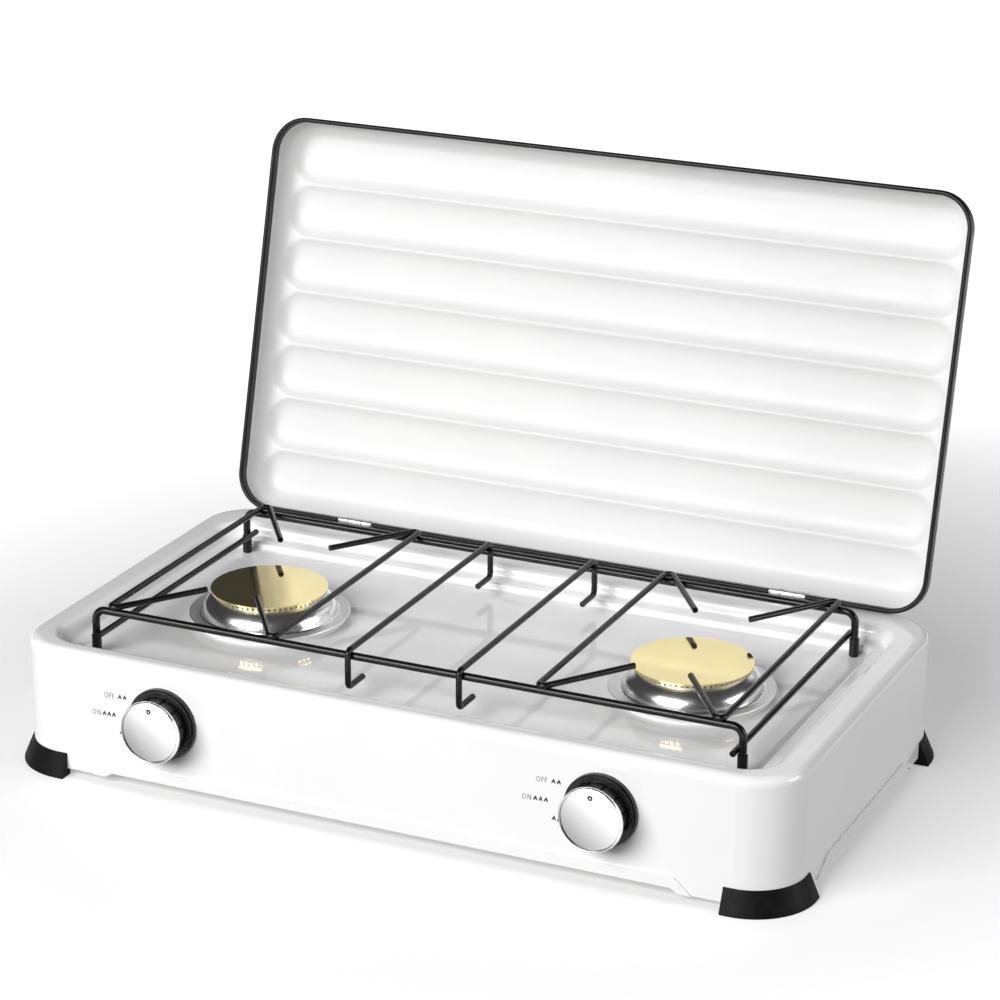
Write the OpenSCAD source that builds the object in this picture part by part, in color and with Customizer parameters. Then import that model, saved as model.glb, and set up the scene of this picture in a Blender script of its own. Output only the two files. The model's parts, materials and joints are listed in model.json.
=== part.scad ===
/* [Body] */
// Overall width of the body across its side walls
body_w = 530; // [524:1:560]
// Overall depth of the body, front wall to rear wall
body_d = 288; // [284:1:300]
// Height of the rim above the surface the stove stands on
rim_z = 87.3; // [86:0.1:90]
// Height of the pan floor above the same surface
floor_z = 73; // [72:0.1:74]
// Thickness of the pressed steel sheet
sheet = 0.8; // [0.7:0.05:0.9]
// Distance of each burner from the middle of the stove
burner_x = 150; // [145:1:155]

/* [Lid] */
// Angle from the closed lid to the open lid
lid_open = 104.7; // [95:0.1:105]
// Number of pressed channels in the lid panel
channel_count = 7; // [5:1:7]
// Distance from one channel to the next
channel_pitch = 37.8; // [36:0.1:38]
// Height of a channel above the panel
channel_h = 3.5; // [2:0.1:4]

/* [Grate] */
// Diameter of the front and rear rails
rail_d = 5; // [4:0.1:5]
// Diameter of the thinner rods
rod_d = 4; // [3:0.1:4]
// Height of the rail centre lines
rail_z = 103; // [102.5:0.1:103]

/* [Burners] */
// Radius of the brass burner cap
cap_r = 38.8; // [38.4:0.1:40]
// Height of the top of the burner cap
cap_top_z = 95; // [94.8:0.1:96]
// Number of gas slots in the cap's ring
port_count = 64; // [32:4:64]

/* [Controls] */
// Radius of the chrome knob face
knob_r = 20.8; // [19.5:0.1:21]
// Height of the knob axis
knob_z = 50; // [49:0.1:52]
// How far a knob is pushed in before it turns
knob_push = 3; // [2:0.1:3]
// Number of grooves around the grip
flute_count = 12; // [8:1:16]

/* [Hidden] */
$fn = 96;

// The model is drawn about the burners' centre line, then moved so that its origin is the middle of
// the floor under the box around the open stove.
frame_y = 36.74;

// Body outline: the corner centres are shared by the skirt and the rim.
corner_r = 34;
body_y = 7.5;
body_half_x = body_w / 2 - corner_r;
body_half_y = body_d / 2 - corner_r;
front_y = body_y - body_d / 2;
rear_y = body_y + body_d / 2;
skirt_z = 5;
edge_r = 6;
rim_r = corner_r - edge_r;

// Pan: the opening in the rim has corners of pan_r around these centres.
pan_half_x = 224.4;
pan_half_y = 100;
pan_r = 26;
lip_r = 6.4;
ledge_fillet = 2.9;
ledge_w = 6.1;
step_r = 2.5;
wall_r = pan_r - lip_r;
ledge_z = floor_z + 2 * step_r;
lip_z = rim_z - lip_r;
ledge_out_r = wall_r - ledge_fillet;
ledge_in_r = ledge_out_r - ledge_w;
step_out_r = ledge_in_r - step_r;
floor_r = step_out_r - step_r;

// Raised boss under each burner, with its opening.
boss_h = 4.5;
boss_r = 46;
boss_foot_r = 50;
burner_hole_r = 30;
boss_z = floor_z + boss_h;

// Band along the lower edge of each wall, around the raised cut-out.
band_out = 1.2;
band_top_z = 15.2;
cutout_z = 8;
front_band = [206, 194.4, 197, 192];
side_band = [92, 72, 85, 82];

// Feet
foot_z = 15.5;
foot_out = 7;
foot_arm = 5.5;
foot_groove_z = 10;

// Lid, drawn closed about its hinge axis and then opened.
pivot = [0, 144.9, 90.2];
trim_z = rim_z + 0.4;
trim_out = 2;
trim_w = 3.2;
trim_h = 6.5;
trim_nose_r = trim_w / 2;
lid_w = 508.8;
lid_d = 277;
lid_r = 25;
lid_y = pivot[1] + trim_out - lid_d / 2;
lid_half_x = lid_w / 2 - lid_r;
lid_half_y = lid_d / 2 - lid_r;
lid_shell_r = lid_r - 1.2;
lid_depth = 25;
lid_edge_r = 11;
panel_z = trim_z + lid_depth;
lid_top_z = panel_z + sheet;
panel_r = lid_shell_r - lid_edge_r;
panel_half_x = lid_half_x + panel_r;
panel_half_y = lid_half_y + panel_r;
channel_mid = 136.4;

// Hinges
hinge_x = 160;
knuckle_r = 2.3;
pin_r = 1.2;
pin_play = 0.05;
knuckle_inner = 5;
knuckle_gap = 0.3;
hinge_half = 12;
leaf_y = 131;
leaf_half = 11;
leaf_z0 = pivot[2] + 2.8;
leaf_z1 = pivot[2] + 11.5;
notch_half = 13.3;
notch_h = 5.6;
rivet_r = 1.3;
rivet_head_r = 2;
rivet_head_h = 0.8;
rivet_dx = 7;
base_rivet_y = 135.5;
leaf_rivet_z = pivot[2] + 7.3;

// Grate
rail_y = 100.8;
leg_x = 222;
rail_bend = 7;
cap_tip_r = 3.2;
leg_cap_h = 12.2;
side_rod_z = 87;
side_rod_half = 106;
rod_r = rod_d / 2;
cross_z = rail_z + rail_d / 2 + rod_r;
side_rod_x = leg_x - rail_d / 2 - rod_r;
finger_bend = 3;
finger_bend_y = 100.3;
finger_outer = 60;
finger_tip = [18.75, 50.6];
// The fingers are drawn a hair thinner than the bar and start just inside its bend.
finger_draw = 0.01;
finger_root = 0.2;
centre_rod_x = 38.1;
centre_rod_y = 105.3;
centre_bend = 3.5;
hook_z = 83.3;
hook_length = 20;

// Burners
collar_flange_r = 52;
collar_base_r = 43.5;
collar_top_r = 37;
collar_lip_r = 33;
cup_r = 27.5;
cup_wall = 1.5;
cup_floor_z = knob_z - 8.7;
cup_flange_r = 36;
cup_flange_h = 0.9;
cap_t = 1.2;
port_ring_r = 37;
port_ring_w = 1.5;
port_w = 1.6;
collar_z = cap_top_z - 4.4;
cup_flange_z = collar_z + cup_flange_h;
locating_r = 25.7;
ring_nut_r = 42;
ring_nut_h = 1.5;

// Gas tap, spindle and knob, measured out from the front wall along -Y. Each tap's axis is a little to
// the left of its burner's centre.
knob_dx = -3.2;
tube_r = 8;
tube_wall = 1;
tube_y0 = -92;
tube_y1 = -20;
bell_r = 10.5;
spindle_r = 4;
spindle_bore_r = 4.05;
neck_r = 6;
neck_y = front_y - 3.4;
tap_r = 9;
tap_y1 = -104;
pipe_r = 4;
pipe_y = -118;
pipe_z = 40;
nut_flat = 14;
washer_y = front_y - 9.2;
washer_t = 0.8;
washer_r = 6.2;
hub_y = washer_y - washer_t;
spindle_front_y = front_y - 13.8;
spindle_rear_y = -112;
grip_r = 19.2;
grip_y0 = front_y - knob_push - 1.5;
grip_y1 = front_y - 15.5;
face_t = 3;
face_y = grip_y1 - face_t;
pointer_r = 1.7;
pointer_up = 14.5;
bezel_r = 23.6;
bezel_in_r = 19.9;
spring_wire = 0.8;
spring_mean_r = 5;
spring_turns = 2;

// Gas line
inlet_x = -200;
pipe_bend = 12;
pipe_end_x = 158;
pipe_bore = 3;
nozzle_tip_y = rear_y + 26;

white = "white";
black = [0.09, 0.09, 0.1];
chrome = [0.8, 0.8, 0.82];
brass = [0.83, 0.67, 0.36];
steel = [0.62, 0.62, 0.64];

// Quarter of a flat ring around the origin, in the quadrant given by the signs.
module quarter_ring(r_in, r_out, sx, sy) {
    intersection() {
        difference() {
            circle(r_out);
            circle(r_in);
        }
        translate([sx > 0 ? 0 : -r_out - 1, sy > 0 ? 0 : -r_out - 1])
            square(r_out + 1);
    }
}

// Sweeps a profile of (distance out from the corner centre, height) around a rounded rectangle.
module ring_sweep(half_x, half_y) {
    for (k = [0 : 3]) {
        sx = (k == 0 || k == 3) ? 1 : -1;
        sy = (k < 2) ? 1 : -1;
        translate([sx * half_x, sy * half_y, 0])
            rotate([0, 0, 90 * k])
                rotate_extrude(angle = 90)
                    children();
    }
    for (m = [0, 1])
        mirror([0, m, 0])
            translate([-half_x, half_y, 0])
                rotate([90, 0, 90])
                    linear_extrude(2 * half_x)
                        children();
    for (m = [0, 1])
        mirror([m, 0, 0])
            translate([half_x, half_y, 0])
                rotate([90, 0, 0])
                    linear_extrude(2 * half_y)
                        children();
}

// Rounded rectangle given by its corner centres and corner radius.
module rounded_plate(half_x, half_y, r, z0, z1) {
    translate([0, 0, z0])
        linear_extrude(z1 - z0) {
            square([2 * half_x, 2 * (half_y + r)], center = true);
            square([2 * (half_x + r), 2 * half_y], center = true);
            for (sx = [-1, 1], sy = [-1, 1])
                translate([sx * half_x, sy * half_y])
                    circle(r);
        }
}

// Cylinder along +Y from y0 to y1.
module rod_y(r, y0, y1) {
    translate([0, y0, 0])
        rotate([-90, 0, 0])
            cylinder(r = r, h = y1 - y0);
}

// Cylinder along +X from x0 to x1.
module rod_x(r, x0, x1) {
    translate([x0, 0, 0])
        rotate([0, 90, 0])
            cylinder(r = r, h = x1 - x0);
}

// Places a part at one burner's centre line: side is -1 on the left and 1 on the right.
module at_burner(side) {
    translate([side * burner_x, 0, 0])
        children();
}

// Places a part on one knob's axis.
module at_knob(side) {
    translate([side * burner_x + knob_dx, 0, knob_z])
        children();
}

// Places a part at one hinge.
module at_hinge(side) {
    translate([side * hinge_x, 0, 0])
        children();
}

// Turns what is drawn closed into the open position.
module opened() {
    translate(pivot)
        rotate([-lid_open, 0, 0])
            translate(-pivot)
                children();
}

// ---- Body ----

module skirt_profile() {
    translate([corner_r - sheet, skirt_z])
        square([sheet, rim_z - edge_r - skirt_z]);
    translate([rim_r, rim_z - edge_r])
        quarter_ring(edge_r - sheet, edge_r, 1, 1);
}

module pan_profile() {
    translate([pan_r, lip_z])
        quarter_ring(lip_r - sheet, lip_r, -1, 1);
    translate([ledge_out_r, lip_z])
        quarter_ring(ledge_fillet, ledge_fillet + sheet, 1, -1);
    translate([ledge_in_r, ledge_z - sheet])
        square([ledge_w, sheet]);
    translate([ledge_in_r, ledge_z - step_r])
        quarter_ring(step_r - sheet, step_r, -1, 1);
    translate([floor_r, floor_z + step_r])
        quarter_ring(step_r, step_r + sheet, 1, -1);
}

module rim_plate() {
    difference() {
        translate([0, body_y, 0])
            rounded_plate(body_half_x, body_half_y, rim_r, rim_z - sheet, rim_z);
        rounded_plate(pan_half_x, pan_half_y, pan_r, rim_z - 1, rim_z + 1);
    }
}

module floor_plate() {
    difference() {
        rounded_plate(pan_half_x, pan_half_y, floor_r, floor_z - sheet, floor_z);
        for (side = [-1, 1])
            at_burner(side)
                translate([0, 0, floor_z - 1])
                    cylinder(r = boss_foot_r, h = 2);
    }
}

module burner_boss() {
    rotate_extrude()
        polygon([[burner_hole_r, boss_z - sheet], [boss_r, boss_z - sheet], [boss_foot_r - 0.7, floor_z - sheet],
            [boss_foot_r, floor_z - sheet], [boss_foot_r, floor_z], [boss_r + 0.7, boss_z],
            [burner_hole_r, boss_z]]);
}

// Raised band on the front wall, with a trapezoid outline; w holds its four half-widths.
module band_plate(w, wall_y) {
    translate([0, wall_y + sheet, 0])
        rotate([90, 0, 0])
            linear_extrude(sheet + band_out)
                polygon([[-w[0], skirt_z], [-w[1], band_top_z], [w[1], band_top_z], [w[0], skirt_z],
                    [w[2], skirt_z], [w[3], cutout_z], [-w[3], cutout_z], [-w[2], skirt_z]]);
}

// Opening below the band, cut through the wall.
module band_cutout(w, wall_y) {
    translate([0, wall_y + 2, 0])
        rotate([90, 0, 0])
            linear_extrude(4)
                polygon([[-w[2] - 0.1, skirt_z - 0.1], [w[2] + 0.1, skirt_z - 0.1], [w[3], cutout_z],
                    [-w[3], cutout_z]]);
}

// Repeats a front-wall feature on all four walls about the body's centre.
module on_each_wall(kind) {
    translate([0, body_y, 0]) {
        for (m = [0, 1])
            mirror([0, m, 0])
                if (kind == "band")
                    band_plate(front_band, -body_d / 2);
                else
                    band_cutout(front_band, -body_d / 2);
        for (m = [0, 1])
            mirror([m, 0, 0])
                rotate([0, 0, 90])
                    if (kind == "band")
                        band_plate(side_band, -body_w / 2);
                    else
                        band_cutout(side_band, -body_w / 2);
    }
}

module body_shell() {
    color(white)
        difference() {
            union() {
                difference() {
                    translate([0, body_y, 0])
                        ring_sweep(body_half_x, body_half_y)
                            skirt_profile();
                    on_each_wall("cutout");
                }
                rim_plate();
                ring_sweep(pan_half_x, pan_half_y)
                    pan_profile();
                floor_plate();
                for (side = [-1, 1])
                    at_burner(side)
                        burner_boss();
                on_each_wall("band");
            }
            for (side = [-1, 1]) {
                at_knob(side)
                    rod_y(neck_r, front_y - 1, front_y + 2);
                at_hinge(side)
                    for (dx = [-rivet_dx, rivet_dx])
                        translate([dx, base_rivet_y, rim_z - 2])
                            cylinder(r = rivet_r, h = 3);
            }
            translate([inlet_x, 0, pipe_z])
                rod_y(neck_r, rear_y - 2, rear_y + 1);
        }
}

// Corner foot: a wedge outside the skirt, a sole under it and a lip inside it.
module foot_profile() {
    polygon([[corner_r, foot_z], [corner_r + 0.8, foot_z], [corner_r + foot_out, 1], [corner_r + foot_out, 0],
        [corner_r - 3, 0], [corner_r - 3, foot_groove_z], [corner_r - sheet, foot_groove_z],
        [corner_r - sheet, skirt_z], [corner_r, skirt_z]]);
}

module foot(sx, sy) {
    color(black)
        translate([0, body_y, 0])
            mirror([sx < 0 ? 1 : 0, 0, 0])
                mirror([0, sy < 0 ? 1 : 0, 0])
                    translate([body_half_x, body_half_y, 0]) {
                        rotate_extrude(angle = 90)
                            foot_profile();
                        rotate([90, 0, 0])
                            linear_extrude(foot_arm)
                                foot_profile();
                        translate([-foot_arm, 0, 0])
                            rotate([90, 0, 90])
                                linear_extrude(foot_arm)
                                    foot_profile();
                    }
}

// ---- Lid ----

module lid_wall_profile() {
    translate([lid_shell_r - sheet, trim_z + 1.3])
        square([sheet, lid_top_z - lid_edge_r - trim_z - 1.3]);
    translate([panel_r, lid_top_z - lid_edge_r])
        quarter_ring(lid_edge_r - sheet, lid_edge_r, 1, 1);
}

// Channel edges across the panel, held inside its flat part.
function channel_edge(i) = let (s = channel_mid + (i - channel_count / 2) * channel_pitch)
    min(max(s, lid_edge_r + 1.7), lid_d - lid_edge_r - 1.7);

// Rounded bar along X whose cap stands channel_h above height z.
module channel_bar(i, z, extra) {
    w = (channel_edge(i + 1) - channel_edge(i)) / 2 - 0.4;
    bar_r = (w * w + channel_h * channel_h) / (2 * channel_h);
    half = panel_half_x - w - 1;
    translate([0, pivot[1] + trim_out - (channel_edge(i) + channel_edge(i + 1)) / 2, z + channel_h - bar_r]) {
        rod_x(bar_r + extra, -half, half);
        for (sx = [-1, 1])
            translate([sx * half, 0, 0])
                sphere(bar_r + extra);
    }
}

// Slab that keeps only what lies between two heights.
module lid_slab(z0, z1) {
    translate([-panel_half_x, lid_y - panel_half_y, z0])
        cube([2 * panel_half_x, 2 * panel_half_y, z1 - z0]);
}

module lid_panel() {
    difference() {
        union() {
            translate([0, lid_y, 0])
                rounded_plate(lid_half_x, lid_half_y, panel_r, panel_z, lid_top_z);
            for (i = [0 : channel_count - 1])
                intersection() {
                    channel_bar(i, panel_z, sheet);
                    lid_slab(panel_z + 0.2, lid_top_z + channel_h + 1);
                }
        }
        for (i = [0 : channel_count - 1])
            intersection() {
                channel_bar(i, panel_z, 0);
                lid_slab(panel_z - 1, lid_top_z + channel_h);
            }
    }
}

// Room for one hinge in the lid's rear wall and trim.
module hinge_notch() {
    translate([-notch_half, pivot[1] - 3, trim_z - 1])
        cube([2 * notch_half, 6, notch_h + 1]);
}

module lid_shell() {
    color(white)
        opened()
            difference() {
                union() {
                    translate([0, lid_y, 0])
                        ring_sweep(lid_half_x, lid_half_y)
                            lid_wall_profile();
                    lid_panel();
                }
                for (side = [-1, 1])
                    at_hinge(side) {
                        hinge_notch();
                        for (dx = [-rivet_dx, rivet_dx])
                            translate([dx, 0, leaf_rivet_z])
                                rod_y(rivet_r, pivot[1] - 1, pivot[1] + 2);
                    }
            }
}

module trim_profile() {
    difference() {
        union() {
            translate([lid_r - trim_nose_r, trim_z + trim_nose_r])
                circle(trim_nose_r);
            translate([lid_r - trim_w, trim_z + trim_nose_r])
                square([trim_w, trim_h - trim_nose_r]);
        }
        translate([lid_shell_r - sheet, trim_z + 1.3])
            square([sheet, trim_h]);
    }
}

module lid_trim() {
    color(black)
        opened()
            difference() {
                translate([0, lid_y, 0])
                    ring_sweep(lid_half_x, lid_half_y)
                        trim_profile();
                for (side = [-1, 1])
                    at_hinge(side) {
                        hinge_notch();
                        translate([-notch_half, pivot[1] - 3, trim_z - 1])
                            cube([2 * notch_half, 3, trim_h + 2]);
                    }
            }
}

// Leaf on the rim, with a knuckle at each end of the hinge.
module hinge_base(side) {
    color(steel)
        at_hinge(side)
            difference() {
                union() {
                    translate([-hinge_half, leaf_y, rim_z])
                        cube([2 * hinge_half, pivot[1] - leaf_y - 4, sheet]);
                    for (x0 = [-hinge_half, knuckle_inner + knuckle_gap]) {
                        translate([x0, pivot[1] - 4.5, rim_z])
                            cube([hinge_half - knuckle_inner - knuckle_gap, 4.5, sheet]);
                        translate([0, pivot[1], pivot[2]])
                            rod_x(knuckle_r, x0, x0 + hinge_half - knuckle_inner - knuckle_gap);
                    }
                }
                translate([0, pivot[1], pivot[2]])
                    rod_x(pin_r, -hinge_half - 1, hinge_half + 1);
                for (dx = [-rivet_dx, rivet_dx])
                    translate([dx, base_rivet_y, rim_z - 1])
                        cylinder(r = rivet_r, h = 3);
            }
}

// Leaf inside the lid's rear wall, with one knuckle in the middle.
module hinge_leaf(side) {
    color(steel)
        opened()
            at_hinge(side)
                difference() {
                    union() {
                        translate([-leaf_half, pivot[1] - sheet, leaf_z0])
                            cube([2 * leaf_half, sheet, leaf_z1 - leaf_z0]);
                        translate([-knuckle_inner, pivot[1] - sheet, pivot[2] + pin_r + pin_play])
                            cube([2 * knuckle_inner, sheet, leaf_z0 - pivot[2] - pin_r]);
                        translate([0, pivot[1], pivot[2]])
                            rod_x(knuckle_r, -knuckle_inner, knuckle_inner);
                    }
                    translate([0, pivot[1], pivot[2]])
                        rod_x(pin_r + pin_play, -hinge_half, hinge_half);
                    for (dx = [-rivet_dx, rivet_dx])
                        translate([dx, 0, leaf_rivet_z])
                            rod_y(rivet_r, pivot[1] - 3, pivot[1] + 1);
                }
}

module hinge_pin(side) {
    color(steel)
        at_hinge(side)
            translate([0, pivot[1], pivot[2]]) {
                rod_x(pin_r, -hinge_half - 0.6, hinge_half + 0.6);
                for (sx = [-1, 1])
                    translate([sx * (hinge_half + 0.3), 0, 0])
                        rod_x(pin_r + 0.5, -0.3, 0.3);
            }
}

module rivet(length) {
    cylinder(r = rivet_head_r, h = rivet_head_h);
    cylinder(r = rivet_r, h = length + 2 * rivet_head_h);
    translate([0, 0, length + rivet_head_h])
        cylinder(r = rivet_head_r, h = rivet_head_h);
}

module hinge_base_rivets() {
    color(steel)
        for (side = [-1, 1], dx = [-rivet_dx, rivet_dx])
            at_hinge(side)
                translate([dx, base_rivet_y, rim_z - sheet - rivet_head_h])
                    rivet(2 * sheet);
}

module hinge_leaf_rivets() {
    color(steel)
        opened()
            for (side = [-1, 1], dx = [-rivet_dx, rivet_dx])
                at_hinge(side)
                    translate([dx, pivot[1] - sheet - rivet_head_h, leaf_rivet_z])
                        rotate([-90, 0, 0])
                            rivet(2 * sheet);
}

// ---- Grate ----

// Bend of a round rod: starts at angle a0 around the bend centre and turns through a.
module rod_bend(bend_r, r, a0, a) {
    rotate([0, 0, a0])
        rotate_extrude(angle = a)
            translate([bend_r, 0])
                circle(r);
}

module grate_rail(sy) {
    span = leg_x - rail_bend;
    r = rail_d / 2;
    color(black)
        translate([0, sy * rail_y, 0]) {
            translate([0, 0, rail_z])
                rod_x(r, -span, span);
            for (m = [0, 1])
                mirror([m, 0, 0]) {
                    translate([span, 0, rail_z - rail_bend])
                        rotate([90, 0, 0])
                            rod_bend(rail_bend, r, 0, 90);
                    translate([leg_x, 0, floor_z + 3])
                        cylinder(r = r, h = rail_z - rail_bend - floor_z - 3);
                }
        }
}

module grate_leg_caps() {
    color(black)
        for (sx = [-1, 1], sy = [-1, 1])
            translate([sx * leg_x, sy * rail_y, floor_z])
                difference() {
                    union() {
                        translate([0, 0, 1])
                            cylinder(r = cap_tip_r, h = leg_cap_h - 1);
                        cylinder(r = cap_tip_r - 1, h = 1);
                        translate([0, 0, 1])
                            rotate_extrude()
                                translate([cap_tip_r - 1, 0])
                                    circle(1);
                    }
                    translate([0, 0, 3])
                        cylinder(r = rail_d / 2, h = leg_cap_h);
                }
}

module grate_side_rod(sx) {
    color(black)
        translate([sx * side_rod_x, 0, side_rod_z])
            rod_y(rod_r, -side_rod_half, side_rod_half);
}

// Cross bar beside one burner, drawn for a bar at +X of it with fingers reaching back over it.
module finger_bar(burner_side, bar_side) {
    bend_x = finger_outer - finger_bend;
    reach = [finger_tip[0] - bend_x, finger_bend_y - finger_tip[1]];
    span = norm(reach);
    length = sqrt(span * span - finger_bend * finger_bend);
    turn = round(270 - atan2(reach[1], reach[0]) + asin(finger_bend / span));
    color(black)
        at_burner(burner_side)
            mirror([bar_side < 0 ? 1 : 0, 0, 0])
                translate([0, 0, cross_z]) {
                    translate([finger_outer, 0, 0])
                        rod_y(rod_r, -finger_bend_y, finger_bend_y);
                    for (m = [0, 1])
                        mirror([0, m, 0])
                            translate([bend_x, -finger_bend_y, 0]) {
                                mirror([0, 1, 0])
                                    rod_bend(finger_bend, rod_r, 0, turn);
                                rotate([0, 0, -turn])
                                    translate([finger_bend, finger_root, 0])
                                        rotate([90, 0, 0])
                                            cylinder(r = rod_r - finger_draw, h = length + finger_root);
                            }
                }
}

module grate_centre_rod(sx) {
    straight = centre_rod_y - centre_bend;
    drop = cross_z - hook_z - 2 * centre_bend;
    color(black)
        translate([sx * centre_rod_x, 0, 0]) {
            translate([0, 0, cross_z])
                rod_y(rod_r, -straight, straight);
            for (m = [0, 1])
                mirror([0, m, 0]) {
                    translate([0, straight, cross_z - centre_bend])
                        rotate([90, 0, 90])
                            rod_bend(centre_bend, rod_r, 0, 90);
                    translate([0, centre_rod_y, hook_z + centre_bend])
                        cylinder(r = rod_r, h = drop);
                    translate([0, straight, hook_z + centre_bend])
                        rotate([90, 0, 90])
                            rod_bend(centre_bend, rod_r, -90, 90);
                    translate([0, 0, hook_z])
                        rod_y(rod_r, centre_rod_y - hook_length, straight);
                }
        }
}

// ---- Burners ----

// Polished drip collar: a flat flange, a convex dome and a lip under the cup's flange.
module burner_collar(side) {
    rise = collar_z - boss_z - sheet;
    across = collar_base_r - collar_top_r;
    dome_c = (collar_base_r + collar_top_r) / 2 - rise * rise / (2 * across);
    dome_r = collar_base_r - dome_c;
    color(chrome)
        at_burner(side)
            rotate_extrude() {
                translate([collar_base_r - sheet, boss_z])
                    square([collar_flange_r - collar_base_r + sheet, sheet]);
                intersection() {
                    translate([dome_c, boss_z + sheet])
                        difference() {
                            circle(dome_r);
                            circle(dome_r - sheet);
                        }
                    translate([collar_lip_r, boss_z + sheet / 2])
                        square([collar_base_r - collar_lip_r, collar_z - boss_z - sheet / 2]);
                }
                translate([collar_lip_r, collar_z - sheet])
                    square([collar_top_r - collar_lip_r - 0.5, sheet]);
            }
}

module burner_cup(side) {
    color(steel)
        at_burner(side)
            difference() {
                union() {
                    translate([0, 0, cup_floor_z])
                        cylinder(r = cup_r, h = cup_flange_z - cup_floor_z);
                    translate([0, 0, collar_z])
                        cylinder(r = cup_flange_r, h = cup_flange_h);
                }
                translate([0, 0, cup_floor_z + cup_wall])
                    cylinder(r = cup_r - cup_wall, h = cup_flange_z);
                translate([knob_dx, 0, knob_z])
                    rod_y(tube_r, -cup_r - 1, 0);
            }
}

// Lift-off brass cap with a ring of gas slots and a locating ring inside the cup.
module burner_cap(side) {
    ring_h = cap_top_z - cap_t - cup_flange_z;
    color(brass)
        at_burner(side)
            difference() {
                union() {
                    translate([0, 0, cap_top_z - cap_t])
                        cylinder(r = cap_r, h = cap_t);
                    translate([0, 0, cup_flange_z])
                        cylinder(r = port_ring_r, h = ring_h + cap_t / 2);
                    translate([0, 0, cup_flange_z - 6])
                        cylinder(r = locating_r, h = 6 + ring_h);
                }
                translate([0, 0, cup_flange_z - 1])
                    difference() {
                        cylinder(r = port_ring_r - port_ring_w, h = 1 + ring_h);
                        cylinder(r = locating_r, h = 1 + ring_h);
                    }
                translate([0, 0, cup_flange_z - 7])
                    cylinder(r = locating_r - 1, h = 7 + ring_h);
                for (i = [0 : port_count - 1])
                    rotate([0, 0, i * 360 / port_count])
                        translate([port_ring_r - port_ring_w - 1, -port_w / 2, cup_flange_z - 1])
                            cube([port_ring_w + 2, port_w, ring_h + 0.6]);
                for (i = [0 : 11])
                    rotate([0, 0, i * 30])
                        translate([locating_r - 2, -3, cup_flange_z + 0.1])
                            cube([3, 6, ring_h - 0.4]);
            }
}

// Large thin nut that pulls the cup down from below the pan.
module burner_ring_nut(side) {
    color(steel)
        at_burner(side)
            translate([0, 0, boss_z - sheet - ring_nut_h])
                difference() {
                    cylinder(r = ring_nut_r, h = ring_nut_h);
                    translate([0, 0, -1])
                        cylinder(r = cup_r, h = ring_nut_h + 2);
                    for (a = [0 : 90 : 270])
                        rotate([0, 0, a + 45])
                            translate([ring_nut_r - 3, -2.5, -1])
                                cube([4, 5, ring_nut_h + 2]);
                }
}

module mixing_tube(side) {
    color(steel)
        at_knob(side)
            rotate([-90, 0, 0])
                rotate_extrude()
                    polygon([[bell_r - tube_wall, tube_y0], [bell_r, tube_y0], [tube_r, tube_y0 + 6],
                        [tube_r, tube_y1], [tube_r - tube_wall, tube_y1],
                        [tube_r - tube_wall, tube_y0 + 6]]);
}

// ---- Gas taps ----

module gas_jet(side) {
    color(brass)
        at_knob(side)
            difference() {
                union() {
                    rod_y(2.5, tap_y1 - 4, tap_y1 + 9);
                    translate([0, tap_y1, 0])
                        rotate([-90, 0, 0])
                            cylinder(r = 4.6, h = 4, $fn = 6);
                }
                rod_y(0.6, tap_y1 - 5, tap_y1 + 10);
            }
}

module gas_tap(side) {
    color(brass)
        at_knob(side)
            difference() {
                union() {
                    rod_y(tap_r, front_y + sheet, tap_y1);
                    rod_y(neck_r, neck_y, front_y + sheet + 1);
                    translate([-7, pipe_y - 7, pipe_z - knob_z - 7])
                        cube([14, 14, 14]);
                }
                rod_y(spindle_bore_r, neck_y - 1, spindle_rear_y + 4);
                rod_y(2.5, tap_y1 - 4, tap_y1 + 1);
                translate([0, pipe_y, pipe_z - knob_z])
                    rod_x(pipe_r, -8, 8);
            }
}

module tap_nut(side) {
    color(steel)
        at_knob(side)
            difference() {
                translate([0, front_y - 3, 0])
                    rotate([-90, 0, 0])
                        cylinder(r = nut_flat / 2 / cos(30), h = 3, $fn = 6);
                rod_y(neck_r, front_y - 4, front_y + 1);
            }
}

module knob_spindle(side) {
    color(steel)
        at_knob(side)
            difference() {
                rod_y(spindle_r, spindle_front_y, spindle_rear_y);
                translate([-spindle_r, spindle_front_y - 1, spindle_r - 1])
                    cube([2 * spindle_r, hub_y - spindle_front_y + 1, 2]);
            }
}

module spindle_washer(side) {
    color(steel)
        at_knob(side)
            difference() {
                rod_y(washer_r, hub_y, washer_y);
                rod_y(spindle_bore_r, hub_y - 1, washer_y + 1);
            }
}

// Points of one ring of the spring wire at turn angle a, going along +Y.
function coil_ring(a, sides, run) = [for (j = [0 : sides - 1])
    let (b = 360 * j / sides, r = spring_mean_r + spring_wire / 2 * cos(b))
        [r * cos(a), spring_wire / 2 * sin(b) + run, r * sin(a)]];

module knob_spring(side) {
    sides = 8;
    steps = spring_turns * 20;
    travel = neck_y - washer_y - spring_wire;
    start = washer_y + spring_wire / 2;
    points = [for (i = [0 : steps])
        each coil_ring(-360 * spring_turns * i / steps, sides, start + travel * i / steps)];
    walls = [for (i = [0 : steps - 1], j = [0 : sides - 1])
        let (k = (j + 1) % sides)
            each [[i * sides + j, (i + 1) * sides + j, (i + 1) * sides + k],
                [i * sides + j, (i + 1) * sides + k, i * sides + k]]];
    first = [[for (j = [0 : sides - 1]) j]];
    last = [[for (j = [sides - 1 : -1 : 0]) steps * sides + j]];
    color(steel)
        at_knob(side)
            polyhedron(points, concat(walls, first, last));
}

// ---- Knobs ----

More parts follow.
